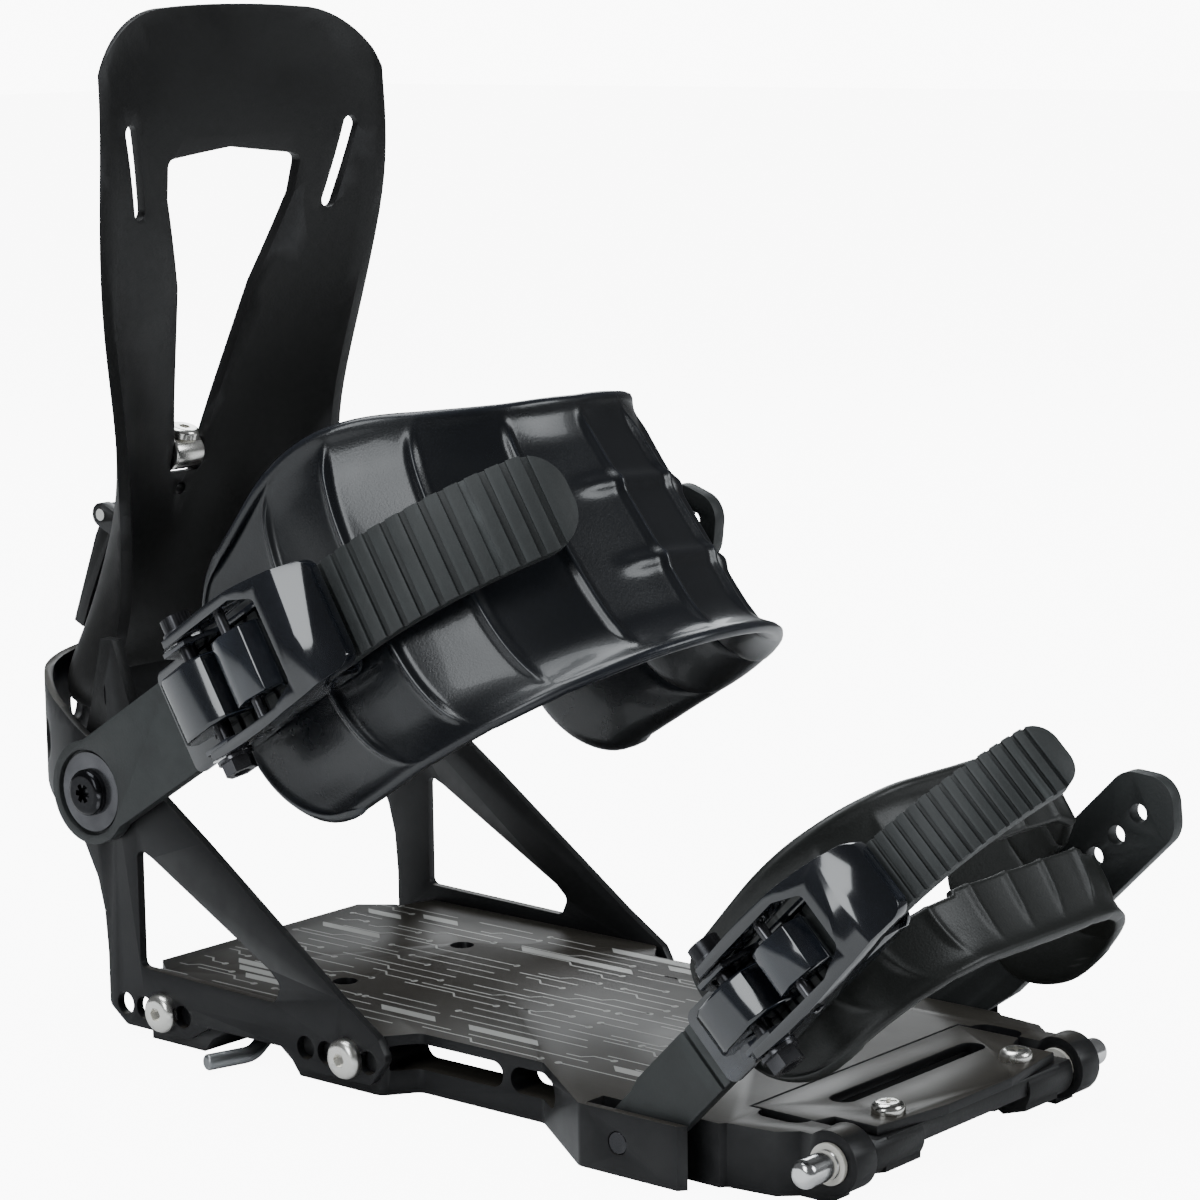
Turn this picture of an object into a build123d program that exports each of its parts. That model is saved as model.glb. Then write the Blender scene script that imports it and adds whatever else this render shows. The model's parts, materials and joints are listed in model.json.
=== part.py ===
from build123d import *
from math import cos, radians, sin, sqrt
import os

# Splitboard binding, right foot.  Millimetres, +Z up, toe towards -Y, buckles on -X.
# The origin is on the sole plane, in the middle of the base plate.

# base plate
sole_top = 14.0            # top deck height
deck_thick = 3.6
rear_y = 106.4
rail_half = 49.8           # half width over the side faces behind the waist
waist_half = 42.0
toe_half = 59.5            # half width over the toe strap hinge blocks
channel_half = 33.0        # half width of the puck channel
lip_half = 29.0            # half width between the lips under the channel
lip_top = 3.0
ramp_joint_y = -79.0       # where the deck ends and the toe ramp begins

# side plates and heel loop, bent from one sheet
sheet = 2.2
side_half = rail_half + sheet
loop_y = 113.0             # where the sides start to bend round the heel
loop_depth = 41.6          # from there to the back of the loop
m5_hole = 5.5
hole_pitch = 6.6
rear_holes_y = 81.0        # first hole of the rear row
front_holes_y = 20.2
holes_z = 8.0

# ankle strap and highback pivot
pivot_y = 106.2
pivot_z = 60.1
pivot_bolt = 8.0
ankle_tilt = 32.0          # strap plane above the horizontal
ankle_x = 54.8             # middle of the strap thickness
ankle_path = ((100.0, 0, 0), (0, 54.8, 62))    # runs and arcs of the ladder: length, radius, turn

# toe strap
toe_pivot_y = -59.8
toe_pivot_z = 7.2
toe_pin = 5.2
toe_tilt = 45.6
toe_x = 55.0
toe_path = ((26.0, 0, 0), (0, 40.0, 2), (60.0, 0, 0), (0, 45.0, 63))

# touring pins and toe ramp
pin_y = -105.5
pin_z = 8.6
pin_dia = 6.35             # quarter inch
ear_in = 39.0
ear_out = 46.0
pin_tip = 56.5
pin_groove = 47.6       # outer edge of the retaining groove, just clear of the bushing
bar_dia = 3.9
bar_high = 2.3
bar_root = 8.0
pin_root = 29.0

# straps and buckles
strap_thick = 3.8
ankle_wide = 23.0        # width of each ladder
toe_wide = 15.0
ankle_pitch = 4.8        # tooth pitch of each ladder
toe_pitch = 2.8
axle_dia = 4.0
axle_high = 5.6            # axle above the outer face of the ladder
floor_drop = 2.1           # outer face of the buckle floor under the ladder
lever_long = 44.0
frame_end = 38.0
buckle_screw_at = 3.0
pawl_at = 15.5
running = 0.06             # radial clearance of a turning fit


def save(piece, name):
    piece.part.label = name
    export_step(piece.part, "parts/" + name + ".step")


def strap_plane(y, z, tilt):
    """Plane of a strap: X across the binding, -Y along the strap, Z over its width."""
    return Plane(origin=(0, y, z), x_dir=(1, 0, 0), z_dir=(0, sin(radians(tilt)), cos(radians(tilt))))


def buckle_plane(strap, x, along, heading):
    """Plane of a buckle: X along the strap, Y over its width, Z outwards from the boot."""
    forward = strap.x_dir * sin(radians(heading)) - strap.y_dir * cos(radians(heading))
    seat = strap.from_local_coords((x, -along, 0))
    return Plane(origin=seat, x_dir=forward, z_dir=strap.z_dir.cross(-forward))


def side_of(plane):
    return Plane(origin=plane.origin, x_dir=plane.x_dir, z_dir=-plane.y_dir)


def strap_side(plane):
    """Side view of a strap: X along the strap, Y over its width, Z towards -X."""
    return Plane(origin=plane.origin, x_dir=-plane.y_dir, z_dir=(-1, 0, 0))


def across(y, z, x=0.0):
    """Plane whose normal runs along +X through the point (x, y, z)."""
    return Plane(origin=(x, y, z), x_dir=(0, 1, 0), z_dir=(1, 0, 0))


ankle = strap_plane(pivot_y, pivot_z, ankle_tilt)
toe = strap_plane(toe_pivot_y, toe_pivot_z, toe_tilt)
os.makedirs("parts", exist_ok=True)


# ---------------------------------------------------------------- base plate
def half_outline():
    return [
        (0, rear_y), (34.5, rear_y), (40.5, 98.5), (40.5, 96.5), (rail_half, 94.0),
        (rail_half, 18.5), (waist_half, 13.0), (waist_half, -24.0), (toe_half, -49.0),
        (toe_half, -76.0), (51.0, -82.5), (49.5, -94.0), (ear_out, -98.0), (ear_out, pin_y),
        (ear_in, pin_y), (ear_in, ramp_joint_y), (0, ramp_joint_y),
    ]


def bar(radius):
    """Bent bar that leaves the near rail under the side plate."""
    with BuildPart() as rod:
        with BuildLine() as route:
            FilletPolyline((-61.5, 63.4, bar_high), (-49.6, 60.0, bar_high), (-38.5, 61.5, bar_root), radius=7)
        with BuildSketch(Plane(origin=route.line @ 0, z_dir=route.line % 0)):
            Circle(radius)
        sweep()
    return rod.part


with BuildPart() as base_plate:
    with BuildSketch():
        with BuildLine():
            Polyline(*half_outline())
            mirror(about=Plane.YZ)
        make_face()
    extrude(amount=sole_top)
    fillet(base_plate.edges().filter_by(Axis.Z).group_by(Axis.Y)[-2], 2.0)
    waist_corners = [e for e in base_plate.edges().filter_by(Axis.Z)
                     if -30 < e.center().Y < 20 or abs(e.center().Y + 49) < 1]
    fillet(waist_corners, 3.0)
    # rounded ears that carry the touring pins
    with BuildSketch(across(pin_y, pin_z, -ear_out)):
        Circle(7.0)
    extrude(amount=ear_out - ear_in)
    with BuildSketch(across(pin_y, pin_z, ear_in)):
        Circle(7.0)
    extrude(amount=ear_out - ear_in)
    # ear fronts follow the boss, and the rails keep a half-moon pocket beside the ramp
    for side in (-1, 1):
        with BuildSketch(Plane.XY.offset(5.0)):
            with Locations((side * ear_in, -89.0)):
                SlotOverall(13.0, 7.4, rotation=90)
        extrude(amount=20, mode=Mode.SUBTRACT)
    # puck channel, open at the heel end
    with BuildSketch(Plane.XZ.offset(-rear_y - 1)):
        with Locations((0, (lip_top + sole_top - deck_thick) / 2)):
            Rectangle(2 * channel_half, sole_top - deck_thick - lip_top)
        with Locations((0, lip_top / 2 - 0.5)):
            Rectangle(2 * lip_half, lip_top + 1.0)
    extrude(amount=rear_y - ramp_joint_y + 3, mode=Mode.SUBTRACT)
    # slots through the side rails in the waist
    for side in (-1, 1):
        with BuildSketch(across(3.5, 8.6, side * 30.0)):
            SlotOverall(31.0, 6.0)
            with Locations((-26.8, 0)):
                SlotOverall(18.0, 6.0)
        extrude(amount=side * 18.0, mode=Mode.SUBTRACT)
    # shallow arch under each rail between the screw lobes
    with BuildSketch(across(0, 0, -60)):
        with BuildLine():
            Polyline((42.5, -2), (46.8, 3.4), (50.5, 6.0), (68.5, 6.0), (73.2, 3.4), (77.5, -2), (42.5, -2))
        make_face()
    extrude(amount=120, mode=Mode.SUBTRACT)
    # blind bore for the bent bar
    add(bar(bar_dia / 2 + 0.02), mode=Mode.SUBTRACT)
    # pockets for the ends of the toe straps, with the hinge pin across each
    for side in (-1, 1):
        with BuildSketch(Plane.XY.offset(-1)):
            with Locations((side * toe_x, -70.0)):
                Rectangle(5.4, 40.0)
        extrude(amount=sole_top + 2, mode=Mode.SUBTRACT)
    with BuildSketch(across(toe_pivot_y, toe_pivot_z, -toe_half - 1)):
        Circle(toe_pin / 2 + 0.02)
    extrude(amount=toe_half - 47.0, mode=Mode.SUBTRACT)
    with BuildSketch(across(toe_pivot_y, toe_pivot_z, 48.0)):
        Circle(toe_pin / 2 + 0.02)
    extrude(amount=toe_half - 47.0, mode=Mode.SUBTRACT)
    # bores: touring pin bushings, side screws, deck holes
    with BuildSketch(across(pin_y, pin_z, -60)):
        Circle(4.0)
    extrude(amount=120, mode=Mode.SUBTRACT)
    for first in (rear_holes_y, front_holes_y):
        for side in (-1, 1):
            with BuildSketch(across(first + hole_pitch, holes_z, side * 38.0)):
                Circle(2.55)
            extrude(amount=side * 12.0, mode=Mode.SUBTRACT)
    with Locations((20.8, 57.3, sole_top), (-20.8, 57.3, sole_top)):
        Hole(radius=3.0, depth=deck_thick + 1)
save(base_plate, "base_plate")

with BuildPart() as rail_bar:
    add(bar(bar_dia / 2))
    chamfer(rail_bar.edges().filter_by(GeomType.CIRCLE).sort_by(Axis.X)[0], 0.5)
save(rail_bar, "rail_bar")


# ---------------------------------------------------------------- side plates and heel loop
with BuildPart() as heel_loop:
    with BuildSketch():
        with BuildLine():
            Polyline((-side_half, loop_y), (-side_half, 0), (-rail_half, 0), (-rail_half, loop_y))
            EllipticalCenterArc((0, loop_y), rail_half, loop_depth - sheet, arc_size=180)
            Polyline((rail_half, loop_y), (rail_half, 0), (side_half, 0), (side_half, loop_y))
            EllipticalCenterArc((0, loop_y), side_half, loop_depth, arc_size=180)
        make_face()
    extrude(amount=100)
    with BuildSketch(across(0, 0, -60)) as side_view:
        with BuildLine():
            Polyline(
                (106.3, 7.0), (106.3, 20), (107.1, 30), (109.2, 38), (113.5, 46), (124, 53), (140, 59),
                (160, 62.5), (160, 86.5), (140, 84.5), (122, 78), (112, 72.5), (96, 67.5),
                (72.1, 51.7), (28.5, 21.4), (16.8, 14.1), (14.2, 9.6), (19.5, 2.8),
                (41, 2.8), (47, 6.8), (72, 6.8), (79, 2.8), (100.5, 2.8), (106.3, 7.0))
        make_face()
        fillet(side_view.vertices().filter_by(lambda v: v.Y < 155), 2.2)
        with BuildLine():
            Polyline((95, 18), (95, 47.5), (89.8, 45.4), (51.2, 24.6), (47.6, 21.4), (49.6, 17), (95, 18))
        make_face(mode=Mode.SUBTRACT)
        fillet(side_view.vertices().filter_by(lambda v: 47 < v.X < 96 and 16.5 < v.Y < 48), 1.8)
        for first in (rear_holes_y, front_holes_y):
            for k in range(4):
                with Locations((first + k * hole_pitch, holes_z)):
                    Circle(m5_hole / 2, mode=Mode.SUBTRACT)
        with Locations((pivot_y, pivot_z)):
            Circle(pivot_bolt / 2 + running, mode=Mode.SUBTRACT)
    extrude(amount=120, mode=Mode.INTERSECT)
    # lightening holes round the heel
    for angle in (28, 46, 64, 116, 134, 152):
        x = side_half * cos(radians(angle))
        y = loop_depth * sin(radians(angle))
        away = Vector(x / side_half**2, y / loop_depth**2, 0).normalized()
        out = Plane(origin=(x, loop_y + y, 64.0 + 0.22 * y), x_dir=(-away.Y, away.X, 0), z_dir=away)
        with BuildSketch(out):
            Ellipse(3.6, 5.0)
        extrude(amount=4, both=True, mode=Mode.SUBTRACT)
save(heel_loop, "heel_loop")

with BuildPart() as side_screws:
    for first in (rear_holes_y, front_holes_y):
        y = first + hole_pitch
        for side in (-1, 1):
            with BuildSketch(across(y, holes_z, side * 40.0)):
                Circle(2.5)
            extrude(amount=side * (side_half - 40.0))
            with BuildSketch(across(y, holes_z, side * side_half)):
                Circle(4.75)
            extrude(amount=side * 2.7)
    fillet(side_screws.edges().filter_by(GeomType.CIRCLE).filter_by(lambda e: abs(abs(e.center().X)
           - side_half - 2.7) < 0.01), 1.9)
    for first in (rear_holes_y, front_holes_y):
        for side in (-1, 1):
            with BuildSketch(across(first + hole_pitch, holes_z, side * (side_half + 1.2))):
                RegularPolygon(1.75, 6)
            extrude(amount=side * 3, mode=Mode.SUBTRACT)
save(side_screws, "side_screws")


# ---------------------------------------------------------------- toe ramp and touring pins
with BuildPart() as ramp_plate:
    with BuildSketch(Plane.XY.offset(sole_top - 2.2)):
        with BuildLine():
            Polyline((0, ramp_joint_y - 0.5), (38.2, ramp_joint_y - 0.5), (38.2, -96), (33.5, -97.6),
                     (33.5, -108.5), (12, -111.6), (0, -111.6))
            mirror(about=Plane.YZ)
        make_face()
        with Locations((2.0, -91.5)):
            SlotOverall(54.0, 6.0, mode=Mode.SUBTRACT)
        with Locations((24.1, -104.6), (-24.1, -104.6)):
            Circle(2.1, mode=Mode.SUBTRACT)
    extrude(amount=2.2)
    fillet(ramp_plate.edges().filter_by(Axis.Z).group_by(Axis.Y)[0], 3.0)
save(ramp_plate, "ramp_plate")

with BuildPart() as ramp_body:
    with BuildSketch(across(0, 0, -32.5)):
        with BuildLine():
            Polyline((-81, 11.8), (-81, 8.5), (-86, 5.5), (-98, 5.5), (-104, 2.2), (-110, 4.0),
                     (-110.5, 11.8), (-81, 11.8))
        make_face()
    extrude(amount=65.0)
    with BuildSketch(Plane.XY.offset(-1)):
        with Locations((0, -96)):
            Rectangle(40, 60)
    extrude(amount=8.6, mode=Mode.SUBTRACT)
    # round bosses that turn on the touring pins, and the hooks that catch the puck
    for side in (-1, 1):
        with BuildSketch(across(pin_y, pin_z, side * 20.0)):
            Circle(5.6)
        extrude(amount=side * 17.2)
        with BuildSketch(across(0, 0, side * 22.0)):
            with BuildLine():
                Polyline((-100.5, 8), (-100.5, 1.6), (-96.5, 1.0), (-95.5, 4.2), (-93, 6.2), (-93, 8), (-100.5, 8))
            make_face()
        extrude(amount=side * 8.0)
    with BuildSketch(Plane.XY.offset(sole_top - 2.2)):
        with Locations((0, -96)):
            Rectangle(120, 60)
    extrude(amount=10, mode=Mode.SUBTRACT)
    with BuildSketch(across(pin_y, pin_z, -60)):
        Circle(pin_dia / 2 + running)
    extrude(amount=120, mode=Mode.SUBTRACT)
    with BuildSketch():
        with Locations((2.0, -91.5)):
            SlotOverall(54.0, 6.0)
        with Locations((24.1, -104.6), (-24.1, -104.6)):
            Circle(1.6)
    extrude(amount=20, mode=Mode.SUBTRACT)
save(ramp_body, "ramp_body")

with BuildPart() as ramp_screws:
    with BuildSketch(Plane.XY.offset(sole_top)):
        with Locations((24.1, -104.6), (-24.1, -104.6)):
            Circle(3.7)
    extrude(amount=2.4)
    fillet(ramp_screws.edges().group_by(Axis.Z)[-1], 1.6)
    with BuildSketch(Plane.XY.offset(sole_top)):
        with Locations((24.1, -104.6), (-24.1, -104.6)):
            Circle(1.55)
    extrude(amount=-2.2)
    with BuildSketch(Plane.XY.offset(sole_top + 1.3)):
        with Locations((24.1, -104.6), (-24.1, -104.6)):
            Rectangle(3.6, 0.9, rotation=35)
            Rectangle(0.9, 3.6, rotation=35)
    extrude(amount=3, mode=Mode.SUBTRACT)
save(ramp_screws, "ramp_screws")

with BuildPart() as pin_bushings:
    for side in (-1, 1):
        for face, out in ((ear_out, 1), (ear_in, -1)):
            with BuildSketch(across(pin_y, pin_z, side * face)):
                Circle(4.5)
            extrude(amount=side * out * 0.9)
            with BuildSketch(across(pin_y, pin_z, side * face)):
                Circle(3.99)
            extrude(amount=-side * out * 3.4)
    with BuildSketch(across(pin_y, pin_z, -60)):
        Circle(pin_dia / 2 + running)
    extrude(amount=120, mode=Mode.SUBTRACT)
save(pin_bushings, "pin_bushings")

for side, name in ((-1, "touring_pin_near"), (1, "touring_pin_far")):
    with BuildPart() as touring_pin:
        with BuildSketch(across(pin_y, pin_z, side * pin_root)):
            Circle(pin_dia / 2)
        extrude(amount=side * (pin_tip - pin_root))
        tip_edge = touring_pin.edges().filter_by(GeomType.CIRCLE).sort_by(Axis.X)[0 if side < 0 else -1]
        fillet(tip_edge, 2.0)
        with BuildSketch(across(pin_y, pin_z, side * pin_groove)):
            Circle(pin_dia)
            Circle(pin_dia / 2 - 0.3, mode=Mode.SUBTRACT)
        extrude(amount=-side * 0.6, mode=Mode.SUBTRACT)
    save(touring_pin, name)


# ---------------------------------------------------------------- highback
# flip lever behind the shell: Y runs down the lever, Z away from the shell
lever_top = (139.6, 118.5)
lever_slope = 24.7
lean_plane = Plane(origin=(0, lever_top[0], lever_top[1]), x_dir=(1, 0, 0),
                   z_dir=(0, cos(radians(lever_slope)), sin(radians(lever_slope))))
lean_side = Plane(origin=lean_plane.origin, x_dir=lean_plane.y_dir, z_dir=(1, 0, 0))
lean_pin_high = 2.4
lever_half = 14.5

shell_levels = [           # height, half width, rim y, middle y
    (78, 48.2, 107.5, 148.0), (90, 46.8, 108.0, 144.8), (100, 42.5, 109.0, 141.0), (112, 39.6, 110.8, 136.5),
    (128, 38.0, 112.5, 130.5), (145, 39.0, 112.2, 126.0), (165, 43.0, 110.0, 120.3), (185, 46.6, 106.8, 114.6),
    (202, 48.3, 104.2, 110.8), (218, 48.3, 103.4, 108.2), (232, 48.0, 104.0, 107.4), (248, 47.5, 105.2, 107.2),
]
shell_thick = 3.4
wing_in = 45.7
wing_out = 48.9

with BuildPart() as highback:
    for z, half, edge_y, middle_y in shell_levels:
        inner = half - shell_thick
        with BuildSketch(Plane.XY.offset(z)):
            with BuildLine():
                ThreePointArc((-half, edge_y), (0, middle_y + shell_thick), (half, edge_y))
                Line((half, edge_y), (inner, edge_y - 0.3))
                ThreePointArc((inner, edge_y - 0.3), (0, middle_y), (-inner, edge_y - 0.3))
                Line((-inner, edge_y - 0.3), (-half, edge_y))
            make_face()
    loft()
    # front view outline
    with BuildSketch(Plane.XZ.offset(-60)):
        with BuildLine():
            Line((-52, 212), (-52, 70))
            Line((-52, 70), (52, 70))
            Line((52, 70), (52, 212))
            ThreePointArc((52, 212), (43.6, 235.2), (22, 244.6))
            ThreePointArc((22, 244.6), (0, 245.4), (-22, 244.6))
            ThreePointArc((-22, 244.6), (-43.6, 235.2), (-52, 212))
        make_face()
    extrude(amount=-120, mode=Mode.INTERSECT)
    # hinge wings
    for side in (-1, 1):
        with BuildSketch(across(0, 0, side * wing_in)):
            with Locations((pivot_y, pivot_z)):
                Circle(12.5)
            with BuildLine():
                Polyline((94.2, 63), (99, 80), (104.8, 96), (108.8, 96), (113, 79), (118.0, 64), (94.2, 63))
            make_face()
        extrude(amount=side * (wing_out - wing_in))
    with BuildSketch(across(pivot_y, pivot_z, -60)):
        Circle(pivot_bolt / 2 + running)
    extrude(amount=120, mode=Mode.SUBTRACT)
    # lugs of the flip lever
    for side in (-1, 1):
        with BuildSketch(lean_side.offset(side * (lever_half + 0.4))):
            with Locations((0, lean_pin_high)):
                Circle(3.0)
            with Locations((0, lean_pin_high - 4.5)):
                Rectangle(6.0, 9.0)
        extrude(amount=side * 3.0)
    with BuildSketch(lean_side.offset(-30)):
        with Locations((0, lean_pin_high)):
            Circle(1.55)
    extrude(amount=60, mode=Mode.SUBTRACT)
    # tapered window, open side slots and the adjuster slot
    with BuildSketch(Plane.XZ.offset(-60)) as cut:
        with BuildLine():
            Polyline((-22.5, 208.5), (0, 211), (22.5, 208.5), (21.5, 199), (13.3, 177), (7.2, 147), (5.3, 138),
                     (5.3, 129.4), (-5.3, 129.4), (-5.3, 138), (-7.2, 147), (-13.3, 177), (-21.5, 199),
                     (-22.5, 208.5))
        make_face()
        fillet(cut.vertices(), 2.0)
    extrude(amount=-120, mode=Mode.SUBTRACT)
    for side in (-1, 1):
        with BuildSketch(Plane.XZ.offset(-60)):
            with Locations((side * 34.6, 206)):
                SlotOverall(23.5, 4.2, rotation=90 - side * 15)
        extrude(amount=-120, mode=Mode.SUBTRACT)
    with BuildSketch(Plane.XZ.offset(-60)):
        with Locations((0, 125.0)):
            Circle(1.6)
    extrude(amount=-120, mode=Mode.SUBTRACT)
save(highback, "highback")

adjuster_y = 131.2
adjuster_z = 134.4

with BuildPart() as lean_barrel:
    with BuildSketch(across(adjuster_y, adjuster_z, -4.8)):
        Circle(4.4)
    extrude(amount=9.6)
    chamfer(lean_barrel.edges().filter_by(GeomType.CIRCLE), 0.5)
save(lean_barrel, "lean_barrel")

screw_plane = Plane(origin=(0, adjuster_y, adjuster_z), x_dir=(1, 0, 0), z_dir=(0, -0.28, 0.96))
with BuildPart() as lean_screw:
    with BuildSketch(screw_plane.offset(4.5)):
        Circle(4.0)
    extrude(amount=2.3)
    fillet(lean_screw.edges().group_by(Axis.Z)[-1], 1.2)
    with BuildSketch(screw_plane.offset(5.4)):
        RegularPolygon(1.5, 6)
    extrude(amount=4, mode=Mode.SUBTRACT)
save(lean_screw, "lean_screw")

with BuildPart() as lean_lever:
    with BuildSketch(lean_side.offset(-lever_half)):
        with BuildLine():
            Polyline((-2.4, 0.2), (-2.4, 4.6), (8, 5.4), (32.5, 4.2), (32.5, 0.6), (24, 0.9), (-2.4, 0.2))
        make_face()
    extrude(amount=2 * lever_half)
    with BuildSketch(lean_plane.offset(-5)):
        with Locations((0, 22)):
            SlotOverall(13, 5)
    extrude(amount=20, mode=Mode.SUBTRACT)
    fillet(lean_lever.edges().filter_by(Axis.X).filter_by(lambda e: e.center().Z > 117), 1.6)
    with BuildSketch(lean_side.offset(-30)):
        with Locations((0, lean_pin_high)):
            Circle(1.5 + running)
    extrude(amount=60, mode=Mode.SUBTRACT)
save(lean_lever, "lean_lever")

with BuildPart() as lean_pin:
    with BuildSketch(lean_side.offset(-lever_half - 3.6)):
        with Locations((0, lean_pin_high)):
            Circle(1.5)
    extrude(amount=2 * lever_half + 7.2)
save(lean_pin, "lean_pin")


# ---------------------------------------------------------------- pivot hardware
recess_face = ankle_x + strap_thick / 2 - 1.5
with BuildPart() as pivot_screws:
    for side in (-1, 1):
        with BuildSketch(across(pivot_y, pivot_z, side * (wing_in - 1.0))):
            Circle(pivot_bolt / 2)
        extrude(amount=side * (recess_face + 0.8 - wing_in + 1.0))
        with BuildSketch(across(pivot_y, pivot_z, side * (recess_face + 0.8))):
            Circle(5.6)
        extrude(amount=side * 2.6)
    rims = pivot_screws.edges().filter_by(GeomType.CIRCLE).group_by(Axis.X)
    fillet(rims[0] + rims[-1], 1.6)
    for side in (-1, 1):
        with BuildSketch(across(pivot_y, pivot_z, side * (recess_face + 1.9))):
            for turn in (0, 60, 120):
                Rectangle(4.6, 1.3, rotation=turn)
        extrude(amount=side * 4, mode=Mode.SUBTRACT)
save(pivot_screws, "pivot_screws")

with BuildPart() as pivot_washers:
    for side in (-1, 1):
        with BuildSketch(across(pivot_y, pivot_z, side * recess_face)):
            Circle(9.6)
            Circle(pivot_bolt / 2 + running, mode=Mode.SUBTRACT)
        extrude(amount=side * 0.8)
save(pivot_washers, "pivot_washers")

with BuildPart() as pivot_spacers:
    for side in (-1, 1):
        with BuildSketch(across(pivot_y, pivot_z, side * (wing_out + 0.1))):
            Circle(6.8)
            Circle(pivot_bolt / 2 + running, mode=Mode.SUBTRACT)
        extrude(amount=side * (rail_half - wing_out - 0.1))
save(pivot_spacers, "pivot_spacers")

with BuildPart() as pivot_nuts:
    for side in (-1, 1):
        with BuildSketch(across(pivot_y, pivot_z, side * (wing_in - 0.1))):
            RegularPolygon(6.5, 6)
            Circle(pivot_bolt / 2 + running, mode=Mode.SUBTRACT)
        extrude(amount=-side * 3.0)
save(pivot_nuts, "pivot_nuts")


# ---------------------------------------------------------------- ladders
def walk(path, start, out):
    """Points of a strap's plan, out from its middle: each run or arc as start, middle, end and heading."""
    x, y, heading = -start, 0.0, 0.0
    stretches = []
    for length, radius, turn in path:
        points = []
        for part in (0, 0.5, 1):
            angle = radians(heading + part * turn)
            base = radians(heading)
            px = x + part * length * sin(base) + radius * (cos(base) - cos(angle))
            py = y - part * length * cos(base) - radius * (sin(angle) - sin(base))
            points.append((px - out * cos(angle), py - out * sin(angle)))
            if part == 1:
                x, y = px, py
        stretches.append((points, heading, turn))
        heading += turn
    return stretches


def ladder(name, plane, middle, path, hub, hub_bore, first_tooth, recess, neck, pitch, wide):
    outer = middle + strap_thick / 2
    outside = walk(path, middle, strap_thick / 2)
    inside = walk(path, middle, -strap_thick / 2)
    with BuildPart() as strap:
        with BuildSketch(plane):
            with BuildLine():
                for stretches in (outside, inside):
                    for points, heading, turn in stretches:
                        if turn:
                            ThreePointArc(*points)
                        else:
                            Line(points[0], points[2])
                Line(outside[0][0][0], inside[0][0][0])
                Line(outside[-1][0][2], inside[-1][0][2])
            make_face()
        extrude(amount=wide / 2, both=True)
        tip_edges = strap.edges().filter_by(lambda e: abs(e.length - strap_thick) < 0.05
                    and (e.center() - plane.from_local_coords((*outside[-1][0][2], 0))).length < 12)
        fillet(tip_edges, wide / 2 - 2.0)
        # teeth across the outer face
        with BuildSketch(plane):
            gone = 0.0
            for (length, radius, turn), (points, heading, swept) in zip(path, outside):
                reach = length + radius * radians(turn)
                for k in range(int((reach - 3.0) / pitch) + 1):
                    along = k * pitch
                    if gone + along < first_tooth or reach < 5:
                        continue
                    angle = radians(heading + (along / radius * 57.2958 if radius else 0))
                    base = radians(heading)
                    x = points[0][0] + (along * sin(base) if not radius else 0)
                    y = points[0][1] - (along * cos(base) if not radius else 0)
                    if radius:
                        x += (radius + strap_thick / 2) * (cos(base) - cos(angle))
                        y -= (radius + strap_thick / 2) * (sin(angle) - sin(base))
                    with Locations((x, y)):
                        Rectangle(1.8, pitch * 0.34, rotation=angle * 57.2958)
                gone += reach
        extrude(amount=wide, both=True, mode=Mode.SUBTRACT)
        if neck:
            for up in (-1, 1):
                with BuildSketch(strap_side(plane)):
                    with BuildLine():
                        Polyline((-9, up * neck), (9, up * neck), (25, up * 10.5), (25, up * 14), (-9, up * 14),
                                 (-9, up * neck))
                    make_face()
                extrude(amount=70, mode=Mode.SUBTRACT)
        # hub at the pivot
        y = plane.origin.Y
        z = plane.origin.Z
        with BuildSketch(across(y, z, -outer)):
            Circle(hub)
        extrude(amount=strap_thick)
        with BuildSketch(across(y, z, -60)):
            Circle(hub_bore)
        extrude(amount=30, mode=Mode.SUBTRACT)
        if recess:
            with BuildSketch(across(y, z, -outer)):
                Circle(recess)
            extrude(amount=1.5, mode=Mode.SUBTRACT)
    save(strap, name)
    return strap


ladder("ankle_ladder", ankle, ankle_x, ankle_path, 12.6, pivot_bolt / 2 + running, 42, 10.4, 0, ankle_pitch, ankle_wide)
ladder("toe_ladder", toe, toe_x, toe_path, 6.4, toe_pin / 2 + running, 28, 0, 6.6, toe_pitch,
       toe_wide)


# ---------------------------------------------------------------- far straps
def far_strap(name, plane, middle, length, hub, hub_bore, recess, neck, holes):
    """Plain strap on the far side, straight, with adjusting holes at its free end."""
    side = strap_side(plane)
    with BuildPart() as strap:
        with BuildSketch(side.offset(-middle - strap_thick / 2)):
            with BuildLine():
                if neck:
                    Polyline((0, -neck), (9, -neck), (25, -9.5), (length - 8, -9.5), (length, 0),
                             (length - 8, 9.5), (25, 9.5), (9, neck), (0, neck), (0, -neck))
                else:
                    Polyline((0, -10.5), (30, -10.0), (length - 8, -10.0), (length, 0),
                             (length - 8, 10.0), (30, 10.0), (0, 10.5), (0, -10.5))
            make_face()
        extrude(amount=strap_thick)
        fillet(strap.edges().filter_by(Axis.X).filter_by(lambda e: (e.center() - plane.origin).length
               > length - 14), 6.5)
        y = plane.origin.Y
        z = plane.origin.Z
        with BuildSketch(across(y, z, middle - strap_thick / 2)):
            Circle(hub)
        extrude(amount=strap_thick)
        with BuildSketch(across(y, z, 30)):
            Circle(hub_bore)
        extrude(amount=40, mode=Mode.SUBTRACT)
        if recess:
            with BuildSketch(across(y, z, middle + strap_thick / 2)):
                Circle(recess)
            extrude(amount=-1.5, mode=Mode.SUBTRACT)
        with BuildSketch(side.offset(-70)):
            for along in holes:
                with Locations((along, 0)):
                    Circle(2.2)
        extrude(amount=40, mode=Mode.SUBTRACT)
    save(strap, name)


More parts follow.
